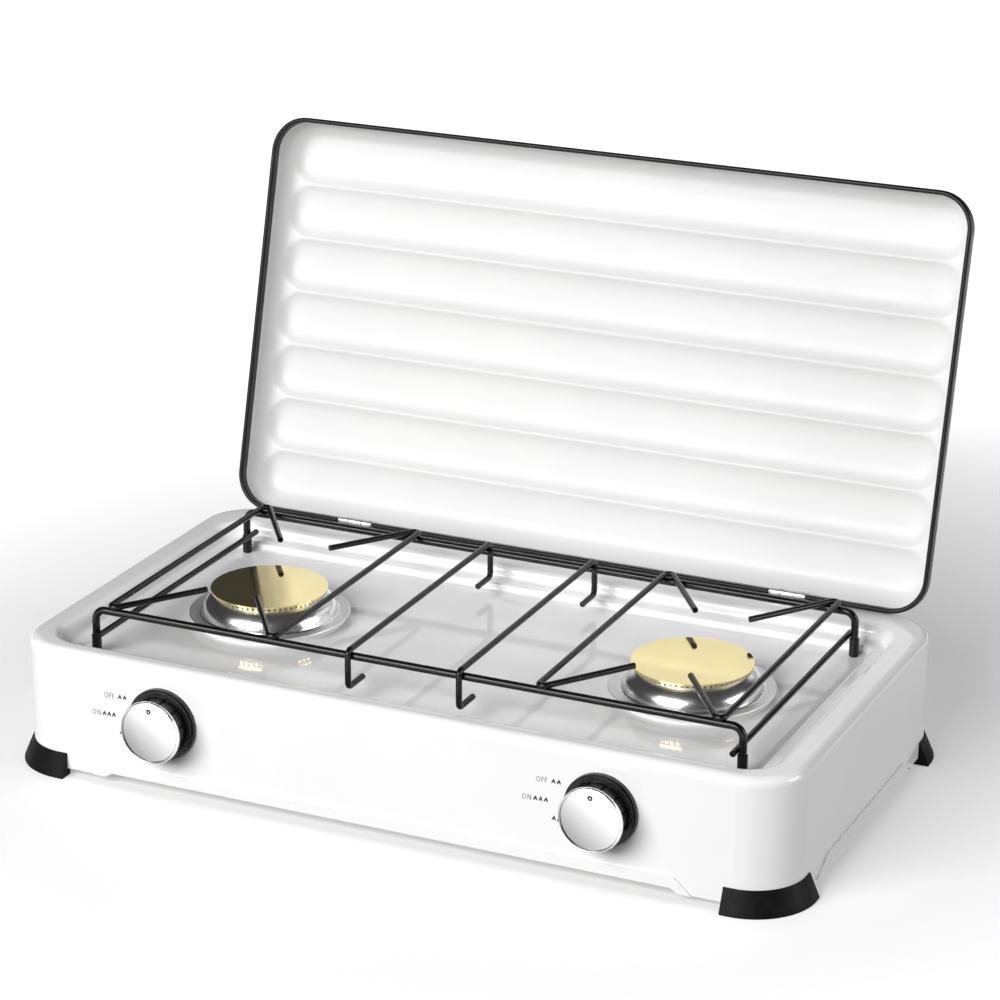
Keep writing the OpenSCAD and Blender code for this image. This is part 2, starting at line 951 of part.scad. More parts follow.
module knob_grip(side) {
    color(black)
        at_knob(side)
            difference() {
                rod_y(grip_r, grip_y1, grip_y0);
                difference() {
                    rod_y(grip_r - 2.2, grip_y1 + 2, grip_y0 + 1);
                    rod_y(7, grip_y1, hub_y);
                }
                difference() {
                    rod_y(spindle_r, spindle_front_y, hub_y + 1);
                    translate([-spindle_r, spindle_front_y - 1, spindle_r - 1])
                        cube([2 * spindle_r, hub_y - spindle_front_y + 1, 2]);
                }
                for (i = [0 : flute_count - 1])
                    rotate([0, (i + 0.5) * 360 / flute_count, 0])
                        translate([0, 0, grip_r + 0.25])
                            rod_y(1, grip_y1 - 1, grip_y0 + 1);
            }
}

module knob_face(side) {
    edge = 1.5;
    color(chrome)
        at_knob(side)
            difference() {
                union() {
                    rod_y(knob_r, face_y + edge, grip_y1);
                    rod_y(knob_r - edge, face_y, grip_y1);
                    translate([0, face_y + edge, 0])
                        rotate([-90, 0, 0])
                            rotate_extrude()
                                translate([knob_r - edge, 0])
                                    circle(edge);
                }
                translate([0, 0, pointer_up])
                    rod_y(pointer_r, face_y - 1, face_y + 0.6);
            }
}

module knob_pointer(side) {
    color(black)
        at_knob(side)
            translate([0, 0, pointer_up])
                rod_y(pointer_r, face_y + 0.1, face_y + 0.6);
}

module knob_bezel(side) {
    color(black)
        at_knob(side)
            difference() {
                union() {
                    rod_y(bezel_r, front_y - 3, front_y);
                    rod_y(bezel_r - 1.1, front_y - 5.5, front_y);
                }
                rod_y(bezel_in_r, front_y - 6, front_y + 1);
            }
}

// ---- Gas line ----

// Tube shape used for the pipe and for its bore.
module pipe_run(r, past) {
    translate([0, pipe_y, pipe_z])
        rod_x(r, inlet_x + pipe_bend, pipe_end_x);
    translate([inlet_x + pipe_bend, pipe_y + pipe_bend, pipe_z])
        rod_bend(pipe_bend, r, 180, 90);
    translate([inlet_x, 0, pipe_z])
        rod_y(r, pipe_y + pipe_bend, rear_y - 6 + past);
}

module gas_pipe() {
    color(steel)
        difference() {
            union() {
                pipe_run(pipe_r, 0);
                translate([0, pipe_y, pipe_z])
                    rod_x(pipe_r, pipe_end_x - 1, pipe_end_x + 1.5);
            }
            pipe_run(pipe_bore, 1);
        }
}

module inlet_nozzle() {
    barbs = 4;
    barb_l = 4.5;
    barb_y = nozzle_tip_y - barbs * barb_l;
    color(brass)
        translate([inlet_x, 0, pipe_z])
            difference() {
                union() {
                    rod_y(9, rear_y - 8, rear_y - sheet);
                    rod_y(neck_r, rear_y - sheet, rear_y + 5);
                    rod_y(4, rear_y + 4, nozzle_tip_y - 1);
                    rotate([-90, 0, 0])
                        for (i = [0 : barbs - 1])
                            translate([0, 0, barb_y + i * barb_l])
                                cylinder(r1 = 5.4, r2 = 4.3, h = barb_l);
                }
                rod_y(pipe_r, rear_y - 9, rear_y - 6);
                rod_y(2.5, rear_y - 7, nozzle_tip_y + 1);
            }
}

module inlet_nut() {
    color(steel)
        translate([inlet_x, 0, pipe_z])
            difference() {
                translate([0, rear_y, 0])
                    rotate([-90, 0, 0])
                        cylinder(r = 9.2, h = 4, $fn = 6);
                rod_y(neck_r, rear_y - 1, rear_y + 5);
            }
}

translate([0, -frame_y, 0]) {
    body_shell();
    foot(-1, -1);  // foot_front_left
    foot(1, -1);  // foot_front_right
    foot(-1, 1);  // foot_rear_left
    foot(1, 1);  // foot_rear_right
    lid_shell();
    lid_trim();
    hinge_base(-1);  // hinge_base_left
    hinge_base(1);  // hinge_base_right
    hinge_leaf(-1);  // hinge_leaf_left
    hinge_leaf(1);  // hinge_leaf_right
    hinge_pin(-1);  // hinge_pin_left
    hinge_pin(1);  // hinge_pin_right
    hinge_base_rivets();
    hinge_leaf_rivets();
    grate_rail(-1);  // grate_rail_front
    grate_rail(1);  // grate_rail_rear
    grate_side_rod(-1);  // grate_side_rod_left
    grate_side_rod(1);  // grate_side_rod_right
    finger_bar(-1, -1);  // grate_finger_outer_left
    finger_bar(-1, 1);  // grate_finger_inner_left
    finger_bar(1, -1);  // grate_finger_inner_right
    finger_bar(1, 1);  // grate_finger_outer_right
    grate_centre_rod(-1);  // grate_centre_rod_left
    grate_centre_rod(1);  // grate_centre_rod_right
    grate_leg_caps();
    burner_collar(-1);  // burner_collar_left
    burner_collar(1);  // burner_collar_right
    burner_cup(-1);  // burner_cup_left
    burner_cup(1);  // burner_cup_right
    burner_cap(-1);  // burner_cap_left
    burner_cap(1);  // burner_cap_right
    burner_ring_nut(-1);  // burner_ring_nut_left
    burner_ring_nut(1);  // burner_ring_nut_right
    mixing_tube(-1);  // mixing_tube_left
    mixing_tube(1);  // mixing_tube_right
    gas_jet(-1);  // gas_jet_left
    gas_jet(1);  // gas_jet_right
    gas_tap(-1);  // gas_tap_left
    gas_tap(1);  // gas_tap_right
    tap_nut(-1);  // tap_nut_left
    tap_nut(1);  // tap_nut_right
    knob_spindle(-1);  // knob_spindle_left
    knob_spindle(1);  // knob_spindle_right
    spindle_washer(-1);  // spindle_washer_left
    spindle_washer(1);  // spindle_washer_right
    knob_spring(-1);  // knob_spring_left
    knob_spring(1);  // knob_spring_right
    knob_grip(-1);  // knob_grip_left
    knob_grip(1);  // knob_grip_right
    knob_face(-1);  // knob_face_left
    knob_face(1);  // knob_face_right
    knob_pointer(-1);  // knob_pointer_left
    knob_pointer(1);  // knob_pointer_right
    knob_bezel(-1);  // knob_bezel_left
    knob_bezel(1);  // knob_bezel_right
    gas_pipe();
    inlet_nozzle();
    inlet_nut();
}
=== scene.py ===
"""Looks of the two-burner gas stove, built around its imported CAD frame."""

import json
import math

import bmesh
import bpy
from mathutils import Matrix, Vector


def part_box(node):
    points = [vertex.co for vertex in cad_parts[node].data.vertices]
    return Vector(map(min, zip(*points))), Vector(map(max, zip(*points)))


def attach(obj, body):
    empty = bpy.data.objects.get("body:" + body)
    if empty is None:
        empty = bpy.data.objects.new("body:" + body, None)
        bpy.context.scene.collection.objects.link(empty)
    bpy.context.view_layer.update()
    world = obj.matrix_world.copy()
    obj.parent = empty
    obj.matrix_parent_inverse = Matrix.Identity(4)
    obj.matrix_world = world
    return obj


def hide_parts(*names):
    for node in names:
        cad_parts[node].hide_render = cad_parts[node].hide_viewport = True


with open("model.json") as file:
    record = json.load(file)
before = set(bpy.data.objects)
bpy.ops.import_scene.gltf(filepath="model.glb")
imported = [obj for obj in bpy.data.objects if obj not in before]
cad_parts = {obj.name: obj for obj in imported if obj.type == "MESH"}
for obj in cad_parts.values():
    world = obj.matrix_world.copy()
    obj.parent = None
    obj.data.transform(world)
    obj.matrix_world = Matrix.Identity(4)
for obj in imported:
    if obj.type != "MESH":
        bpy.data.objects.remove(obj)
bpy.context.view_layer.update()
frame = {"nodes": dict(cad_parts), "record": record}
MM = 0.001


# ---------------------------------------------------------------- camera, lights and floor

CAMERA_AT = (0.8587, -1.8770, 0.9127)
CAMERA_YAW = 24.74      # degrees to the left of straight ahead
CAMERA_TILT = 19.89     # degrees down
CAMERA_ROLL = 0.19
CAMERA_LENS = 122.57    # on a sensor SENSOR_W wide, in millimetres
SENSOR_W = 36
CAMERA_SHIFT = (0.0091, 0.0010)
VIEW_END = 50           # how far the camera sees

BELOW_GREY = 0.16       # light from below the horizon
SKY_GREY = 0.05         # light from above it
BELOW_END, SKY_START = 0.02, 0.04   # where one turns into the other, as a share of the way up

# Each light: name, place, what it faces, width and height, watts.
LIGHTS = [("key", (-0.75, -2.65, 1.55), (0, 0, 0.1), (2.4, 1.5), 120),
          ("side", (2.7, 0.5, 0.9), (0.2, 0, 0.1), (1.5, 1.2), 34)]

FLOOR_HALF = 6
FLOOR_GLOW = (0.95, 0.3)        # emission at the far edge and under the object
FLOOR_FADE = (0.64, 0.86)       # where the glow starts and stops changing, 1 under the object
FLOOR_FADE_SCALE = 0.4          # 1 over the radius of the fade, in metres


def make_camera():
    """The camera at the photograph's viewing angle."""
    data = bpy.data.cameras.new("camera")
    data.lens = CAMERA_LENS
    data.sensor_width = SENSOR_W
    data.shift_x, data.shift_y = CAMERA_SHIFT
    data.clip_end = VIEW_END
    camera = bpy.data.objects.new("camera", data)
    turn = (Matrix.Rotation(math.radians(CAMERA_YAW), 4, "Z")
            @ Matrix.Rotation(math.radians(90 - CAMERA_TILT), 4, "X")
            @ Matrix.Rotation(math.radians(CAMERA_ROLL), 4, "Z"))
    camera.matrix_world = Matrix.Translation(CAMERA_AT) @ turn
    bpy.context.scene.collection.objects.link(camera)
    bpy.context.scene.camera = camera


def add_area_light(name, at, look_at, size, power):
    """A soft rectangular light that faces look_at."""
    data = bpy.data.lights.new(name, "AREA")
    data.shape = "RECTANGLE"
    data.size, data.size_y = size
    data.energy = power
    light = bpy.data.objects.new(name, data)
    aim = Vector(look_at) - Vector(at)
    turn = aim.to_track_quat("-Z", "Y").to_matrix().to_4x4()
    light.matrix_world = Matrix.Translation(at) @ turn
    bpy.context.scene.collection.objects.link(light)


def make_world():
    """A dim, even studio, a little brighter from below, and plain white to the camera."""
    world = bpy.data.worlds.new("studio")
    world.use_nodes = True
    tree = world.node_tree
    background = tree.nodes["Background"]
    coords = tree.nodes.new("ShaderNodeTexCoord")
    split = tree.nodes.new("ShaderNodeSeparateXYZ")
    sky = tree.nodes.new("ShaderNodeValToRGB")
    stops = ((BELOW_END, BELOW_GREY), (SKY_START, SKY_GREY))
    for element, (position, grey) in zip(sky.color_ramp.elements, stops):
        element.position = position
        element.color = (grey, grey, grey, 1)
    white = tree.nodes.new("ShaderNodeBackground")
    rays = tree.nodes.new("ShaderNodeLightPath")
    mix = tree.nodes.new("ShaderNodeMixShader")
    tree.links.new(coords.outputs["Generated"], split.inputs["Vector"])
    tree.links.new(split.outputs["Z"], sky.inputs["Fac"])
    tree.links.new(sky.outputs["Color"], background.inputs["Color"])
    tree.links.new(rays.outputs["Is Camera Ray"], mix.inputs["Fac"])
    tree.links.new(background.outputs["Background"], mix.inputs[1])
    tree.links.new(white.outputs["Background"], mix.inputs[2])
    white.inputs["Color"].default_value = (1, 1, 1, 1)
    tree.links.new(mix.outputs["Shader"], tree.nodes["World Output"].inputs["Surface"])
    bpy.context.scene.world = world


def make_lights():
    """A large soft light from the front left, and a weaker one from the right, a little behind."""
    make_world()
    for light in LIGHTS:
        add_area_light(*light)
    scene = bpy.context.scene
    scene.view_settings.view_transform = "Standard"
    scene.view_settings.look = "None"


def make_floor():
    """A plain pale floor that runs on past the view and stays white to its far edge."""
    mesh = bpy.data.meshes.new("floor")
    corners = [(x * FLOOR_HALF, y * FLOOR_HALF, 0) for x, y in ((-1, -1), (1, -1), (1, 1), (-1, 1))]
    mesh.from_pydata(corners, [], [(0, 1, 2, 3)])
    floor = bpy.data.objects.new("floor", mesh)
    bpy.context.scene.collection.objects.link(floor)
    material = new_material("floor_white", (0.8, 0.8, 0.8), 0.7, Emission_Color=(1, 1, 1, 1))
    coords = add_node(material, "ShaderNodeTexCoord")
    mapping = add_node(material, "ShaderNodeMapping")
    mapping.inputs["Scale"].default_value = (FLOOR_FADE_SCALE,) * 3
    gradient = add_node(material, "ShaderNodeTexGradient", gradient_type="SPHERICAL")
    links = material.node_tree.links
    links.new(coords.outputs["Object"], mapping.inputs["Vector"])
    links.new(mapping.outputs["Vector"], gradient.inputs["Vector"])
    glow = ramp(material, gradient.outputs["Fac"], *FLOOR_GLOW, *FLOOR_FADE)
    links.new(glow, shader_of(material).inputs["Emission Strength"])
    mesh.materials.append(material)
    floor.visible_diffuse = False


# ---------------------------------------------------------------- materials

def new_material(name, color, roughness, metallic=0.0, **inputs):
    """A Principled material with constant settings on the shader's own sockets."""
    material = bpy.data.materials.new(name)
    material.use_nodes = True
    shader = material.node_tree.nodes["Principled BSDF"]
    shader.inputs["Base Color"].default_value = (*color, 1)
    shader.inputs["Roughness"].default_value = roughness
    shader.inputs["Metallic"].default_value = metallic
    for key, value in inputs.items():
        shader.inputs[key.replace("_", " ")].default_value = value
    return material


def shader_of(material):
    return material.node_tree.nodes["Principled BSDF"]


def add_node(material, kind, **settings):
    node = material.node_tree.nodes.new(kind)
    for key, value in settings.items():
        setattr(node, key, value)
    return node


def object_noise(material, scale, detail):
    """Noise in the object's own coordinates, in patches of about 1/scale metres."""
    links = material.node_tree.links
    coords = add_node(material, "ShaderNodeTexCoord")
    noise = add_node(material, "ShaderNodeTexNoise")
    noise.inputs["Scale"].default_value = scale
    noise.inputs["Detail"].default_value = detail
    noise.inputs["Roughness"].default_value = 0.5
    links.new(coords.outputs["Object"], noise.inputs["Vector"])
    return noise.outputs["Fac"]


def ramp(material, factor, low, high, start=0.3, end=0.7):
    """Colours between low and high, or greys when they are numbers."""
    node = add_node(material, "ShaderNodeValToRGB")
    as_color = [c if isinstance(c, tuple) else (c, c, c) for c in (low, high)]
    node.color_ramp.elements[0].position = start
    node.color_ramp.elements[1].position = end
    for element, color in zip(node.color_ramp.elements, as_color):
        element.color = (*color, 1)
    material.node_tree.links.new(factor, node.inputs["Fac"])
    return node.outputs["Color"]


def vary_color(material, factor, low, high, **kw):
    color = ramp(material, factor, low, high, **kw)
    material.node_tree.links.new(color, shader_of(material).inputs["Base Color"])


def vary_roughness(material, factor, low, high, **kw):
    roughness = ramp(material, factor, low, high, **kw)
    material.node_tree.links.new(roughness, shader_of(material).inputs["Roughness"])


def add_bump(material, height, strength, distance):
    """Fine relief, distance in metres."""
    links = material.node_tree.links
    bump = add_node(material, "ShaderNodeBump")
    bump.inputs["Strength"].default_value = strength
    bump.inputs["Distance"].default_value = distance
    links.new(height, bump.inputs["Height"])
    links.new(bump.outputs["Normal"], shader_of(material).inputs["Normal"])


def white_enamel():
    """Glossy vitreous enamel: a faint orange peel and slight changes of gloss."""
    m = new_material("white_enamel", (0.9, 0.9, 0.9), 0.12, Specular_IOR_Level=0.5)
    vary_color(m, object_noise(m, 14, 2), (0.885, 0.887, 0.888), (0.915, 0.915, 0.912))
    vary_roughness(m, object_noise(m, 40, 3), 0.04, 0.09)
    add_bump(m, object_noise(m, 130, 2), 0.03, 0.0003)
    return m


def lid_enamel_painted_shade():
    """The lid's white enamel, rougher than the body's with gloss varying at random; its base colour is
    painted darker than the body's as painted shade.
    """
    m = new_material("lid_enamel_painted_shade", (0.76, 0.76, 0.76), 0.35, Specular_IOR_Level=0.3)
    vary_color(m, object_noise(m, 9, 2), (0.745, 0.746, 0.748), (0.775, 0.775, 0.773))
    vary_roughness(m, object_noise(m, 30, 3), 0.3, 0.42)
    add_bump(m, object_noise(m, 160, 2), 0.04, 0.0003)
    return m


def black_rubber():
    m = new_material("black_rubber", (0.004, 0.004, 0.005), 0.55, Specular_IOR_Level=0.12)
    vary_color(m, object_noise(m, 60, 3), (0.002, 0.002, 0.0025), (0.006, 0.006, 0.0065))
    vary_roughness(m, object_noise(m, 120, 2), 0.45, 0.62)
    add_bump(m, object_noise(m, 1800, 2), 0.2, 0.0003)
    return m


def black_edging():
    m = new_material("black_edging", (0.006, 0.006, 0.007), 0.35, Specular_IOR_Level=0.25)
    vary_color(m, object_noise(m, 45, 3), (0.004, 0.004, 0.005), (0.01, 0.01, 0.011))
    vary_roughness(m, object_noise(m, 90, 2), 0.26, 0.42)
    add_bump(m, object_noise(m, 1500, 2), 0.12, 0.0002)
    return m


def black_rod():
    """Black enamel on round rod, a little uneven where it was dipped."""
    m = new_material("black_rod", (0.004, 0.004, 0.005), 0.22, Specular_IOR_Level=0.35)
    vary_color(m, object_noise(m, 70, 3), (0.003, 0.003, 0.0035), (0.007, 0.007, 0.0075))
    vary_roughness(m, object_noise(m, 110, 3), 0.16, 0.3)
    add_bump(m, object_noise(m, 420, 3), 0.15, 0.0004)
    return m


def polished_steel():
    """Pressed and polished steel, a little cloudy."""
    m = new_material("polished_steel", (0.8, 0.8, 0.81), 0.2, metallic=1)
    vary_color(m, object_noise(m, 30, 3), (0.78, 0.78, 0.79), (0.88, 0.88, 0.88))
    vary_roughness(m, object_noise(m, 90, 3), 0.2, 0.26)
    return m


def satin_steel():
    """The collar's flange, left duller than its dome."""
    m = new_material("satin_steel", (0.85, 0.85, 0.85), 0.5, metallic=1)
    vary_color(m, object_noise(m, 40, 3), (0.86, 0.86, 0.865), (0.93, 0.93, 0.93))
    vary_roughness(m, object_noise(m, 120, 3), 0.42, 0.52)
    add_bump(m, object_noise(m, 900, 2), 0.05, 0.0002)
    return m


def brass_cap():
    """Polished brass with slight changes of tone."""
    m = new_material("brass_cap", (0.96, 0.84, 0.5), 0.08, metallic=1)
    vary_color(m, object_noise(m, 25, 3), (0.94, 0.79, 0.38), (0.98, 0.85, 0.45))
    vary_roughness(m, object_noise(m, 60, 3), 0.05, 0.1)
    add_bump(m, object_noise(m, 500, 2), 0.02, 0.0001)
    return m


def brass_fitting():
    m = new_material("brass_fitting", (0.7, 0.52, 0.25), 0.3, metallic=1)
    vary_color(m, object_noise(m, 90, 3), (0.6, 0.44, 0.2), (0.76, 0.58, 0.3))
    vary_roughness(m, object_noise(m, 200, 3), 0.22, 0.42)
    add_bump(m, object_noise(m, 900, 2), 0.12, 0.0002)
    return m


def cast_aluminium():
    m = new_material("cast_aluminium", (0.6, 0.6, 0.61), 0.45, metallic=1)
    vary_color(m, object_noise(m, 60, 4), (0.5, 0.5, 0.51), (0.68, 0.68, 0.68))
    vary_roughness(m, object_noise(m, 150, 3), 0.38, 0.6)
    add_bump(m, object_noise(m, 1100, 4), 0.4, 0.0003)
    return m


def zinc_steel():
    m = new_material("zinc_steel", (0.62, 0.62, 0.63), 0.32, metallic=1)
    vary_color(m, object_noise(m, 120, 4), (0.52, 0.53, 0.54), (0.7, 0.7, 0.69))
    vary_roughness(m, object_noise(m, 260, 3), 0.25, 0.45)
    add_bump(m, object_noise(m, 1000, 3), 0.15, 0.0002)
    return m


def knob_black():
    m = new_material("knob_black", (0.008, 0.008, 0.009), 0.32, Specular_IOR_Level=0.4)
    vary_color(m, object_noise(m, 150, 3), (0.005, 0.005, 0.006), (0.013, 0.013, 0.014))
    vary_roughness(m, object_noise(m, 240, 2), 0.22, 0.36)
    add_bump(m, object_noise(m, 2200, 2), 0.12, 0.0002)
    return m


# Painted reflection on the knob chrome: lighter to the upper right, darker to the lower left.
PAINTED_REFLECTION_SLOPE = (16, 0, 19)    # change of tone for each metre across and up


def knob_chrome():
    """Plated plastic with a painted reflection: its colour darkens from the upper right to the lower left.
    """
    m = new_material("knob_chrome", (0.84, 0.84, 0.85), 0.2, metallic=1)
    links = m.node_tree.links
    coords = add_node(m, "ShaderNodeTexCoord")
    slope = add_node(m, "ShaderNodeVectorMath", operation="DOT_PRODUCT")
    slope.inputs[1].default_value = PAINTED_REFLECTION_SLOPE
    links.new(coords.outputs["Object"], slope.inputs[0])
    painted_reflection = add_node(m, "ShaderNodeMapRange")
    painted_reflection.inputs["From Min"].default_value = -0.5
    painted_reflection.inputs["From Max"].default_value = 0.5
    links.new(slope.outputs["Value"], painted_reflection.inputs["Value"])
    # Painted reflection: the base colour runs from dark grey at the lower left to near white at the upper
    # right.
    vary_color(m, painted_reflection.outputs["Result"], (0.42, 0.42, 0.425), (0.97, 0.97, 0.97), start=0.1, end=0.75)
    vary_roughness(m, object_noise(m, 120, 3), 0.2, 0.28)
    return m


def mark_ink(name, low, high):
    """Screen-printed ink with slightly uneven cover."""
    m = new_material(name, low, 0.45)
    vary_color(m, object_noise(m, 900, 3), low, high)
    vary_roughness(m, object_noise(m, 600, 2), 0.38, 0.55)
    return m


def mark_black():
    return mark_ink("mark_black", (0.012, 0.012, 0.012), (0.03, 0.03, 0.03))


def mark_grey():
    return mark_ink("mark_grey", (0.1, 0.1, 0.1), (0.16, 0.16, 0.16))


MAKERS = {
    "white_enamel": white_enamel,
    "lid_enamel_painted_shade": lid_enamel_painted_shade,
    "black_rubber": black_rubber,
    "black_edging": black_edging,
    "black_rod": black_rod,
    "polished_steel": polished_steel,
    "satin_steel": satin_steel,
    "brass_cap": brass_cap,
    "brass_fitting": brass_fitting,
    "cast_aluminium": cast_aluminium,
    "zinc_steel": zinc_steel,
    "knob_black": knob_black,
    "knob_chrome": knob_chrome,
    "mark_black": mark_black,
    "mark_grey": mark_grey,
}


# ---------------------------------------------------------------- mesh tools

def joint_named(name):
    return next(j for j in frame["record"]["behaviour"]["joints"] if j["name"] == name)


def middle(node):
    lo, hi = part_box(node)
    return (Vector(lo) + Vector(hi)) / 2


def add_piece(name, bm, body, slot, replaced=(), smooth=True, finish=None, at=(0, 0, 0)):
    """Turns a bmesh into a piece that rides on a body and takes the material of its slot, or of its
    finish.

    finish names the material when it is a variant of the slot's; at is where the mesh's origin goes."""
    mesh = bpy.data.meshes.new(name)
    bmesh.ops.recalc_face_normals(bm, faces=bm.faces)
    bm.to_mesh(mesh)
    bm.free()
    for face in mesh.polygons:
        face.use_smooth = smooth
    piece = bpy.data.objects.new(name, mesh)
    piece.location = at
    bpy.context.scene.collection.objects.link(piece)
    mesh.materials.append(materials[finish or slot])
    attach(piece, body)
    for node in replaced:
        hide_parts(node)
    return piece


def add_shell(piece, thickness, offset):
    """Gives a surface the thickness of the sheet it is pressed from."""
    modifier = piece.modifiers.new("sheet", "SOLIDIFY")
    modifier.thickness = thickness
    modifier.offset = offset
    modifier.use_even_offset = False


def spaced(stops):
    """Values from a list of (end, step) stops: evenly spaced up to each end."""
    values = [stops[0][0]]
    for end, step in stops[1:]:
        count = max(1, round((end - values[-1]) / step))
        start = values[-1]
        values += [start + (end - start) * (k + 1) / count for k in range(count)]
    return values


def outline_stations(xs, ys, arc_steps):
    """Base points of a rounded rectangle and their outward directions, anticlockwise from +X.

    xs and ys run across the rectangle of the corner centres."""
    result = []
    corners = [(xs[-1], ys[-1]), (xs[0], ys[-1]), (xs[0], ys[0]), (xs[-1], ys[0])]
    sides = [[(x, ys[-1]) for x in xs[-2:0:-1]], [(xs[0], y) for y in ys[-2:0:-1]],
             [(x, ys[0]) for x in xs[1:-1]], [(xs[-1], y) for y in ys[1:-1]]]
    for k in range(4):
        for step in range(arc_steps + 1):
            a = math.radians(90 * (k + step / arc_steps))
            result.append((*corners[k], math.cos(a), math.sin(a)))
        side_angle = math.radians(90 * (k + 1))
        for point in sides[k]:
            result.append((*point, math.cos(side_angle), math.sin(side_angle)))
    return result


def add_ring(bm, stations, radius, height):
    """One ring of vertices; height is a number or a function of the base point and direction."""
    ring = []
    for station in stations:
        x, y, nx, ny = station
        z = height(station) if callable(height) else height
        ring.append(bm.verts.new((x + radius * nx, y + radius * ny, z)))
    return ring


def join_rings(bm, rings):
    count = len(rings[0])
    for one, two in zip(rings, rings[1:]):
        for i in range(count):
            j = (i + 1) % count
            bm.faces.new((one[i], one[j], two[j], two[i]))


def arc_points(centre, radius, start, end, steps):
    """Points (r, z) along an arc, angles in degrees."""
    points = []
    for k in range(steps + 1):
        a = math.radians(start + (end - start) * k / steps)
        points.append((centre[0] + radius * math.cos(a), centre[1] + radius * math.sin(a)))
    return points


def add_lathe(bm, profile, steps, place):
    """Turns a profile of (radius, height) into a surface; place gives a point from x, y and height."""
    rings = []
    for r, h in profile:
        if r < 1e-6:
            rings.append([bm.verts.new(place(0, 0, h))])
            continue
        angles = [2 * math.pi * k / steps for k in range(steps)]
        rings.append([bm.verts.new(place(r * math.cos(a), r * math.sin(a), h)) for a in angles])
    for one, two in zip(rings, rings[1:]):
        for k in range(steps):
            j = (k + 1) % steps
            corners = [one[k % len(one)], one[j % len(one)], two[j % len(two)], two[k % len(two)]]
            bm.faces.new(list(dict.fromkeys(corners)))


def sharpen(piece, degrees=35):
    """Smooth shading that still breaks at edges sharper than an angle."""
    mesh = piece.data
    flags = mesh.attributes.new("sharp_edge", "BOOLEAN", "EDGE")
    bm = bmesh.new()
    bm.from_mesh(mesh)
    limit = math.radians(degrees)
    values = [len(e.link_faces) == 2 and e.calc_face_angle(0) > limit for e in bm.edges]
    bm.free()
    flags.data.foreach_set("value", values)


def smooth_max(a, b, width):
    gap = max(width - abs(a - b), 0) / width
    return max(a, b) + gap * gap * width / 4


# ---------------------------------------------------------------- lid

HINGE = Vector(joint_named("lid_hinge")["pos_m"])
LID_OPEN = -joint_named("lid_hinge")["range_deg"][0]
LID_TURN = (Matrix.Translation(HINGE) @ Matrix.Rotation(math.radians(-LID_OPEN), 4, "X")
            @ Matrix.Translation(-HINGE))
SHEET = 0.8 * MM
LID_CORNER_R = 23.8 * MM
LID_EDGE_R = 12 * MM
LID_DEPTH = 21.0 * MM       # lower edge of the wall to the inside of the panel; clears the grate when shut
CHANNEL_COUNT = 7
CHANNEL_PITCH = 37.8 * MM
CHANNEL_MIDDLE = 136.4 * MM   # from the hinge edge of the lid's rim
CHANNEL_END = 247 * MM
CHANNEL_H = 4.8 * MM
CHANNEL_FULLNESS = 3.3        # 2 is a parabola; more is flatter in the middle and steeper at the edge
CHANNEL_BLEND = 0.5 * MM
HINGE_NOTCH_HALF = 13.3 * MM
HINGE_NOTCH_H = 4.3 * MM
TRIM_OUT = 2 * MM             # how far the black edging stands out past the shell
FINE, COARSE = 1.4 * MM, 7 * MM     # spacing of the mesh near the channels' ends and along their middle
COARSE_HALF = 206 * MM        # the coarse mesh ends this far from the middle
ACROSS_STEP = 1.25 * MM


def closed_lid_box():
    """Box of the CAD lid when shut, in the frame's axes."""
    back = LID_TURN.inverted()
    points = [back @ v.co for v in frame["nodes"]["lid_shell"].data.vertices]
    lo = Vector([min(p[i] for p in points) for i in range(3)])
    hi = Vector([max(p[i] for p in points) for i in range(3)])
    return lo, hi


def channel_rise(x, from_hinge):
    """Height of the pressed channels over the panel, rounded where they meet."""
    half = CHANNEL_PITCH / 2
    past_end = max(abs(x) - (CHANNEL_END - half), 0)
    rise = 0
    for i in range(CHANNEL_COUNT):
        across = from_hinge - (CHANNEL_MIDDLE + (i - (CHANNEL_COUNT - 1) / 2) * CHANNEL_PITCH)
        if abs(across) < 2 * half:
            along = math.hypot(across, past_end) / half
            rise = smooth_max(rise, CHANNEL_H * (1 - along ** CHANNEL_FULLNESS), CHANNEL_BLEND)
    return rise


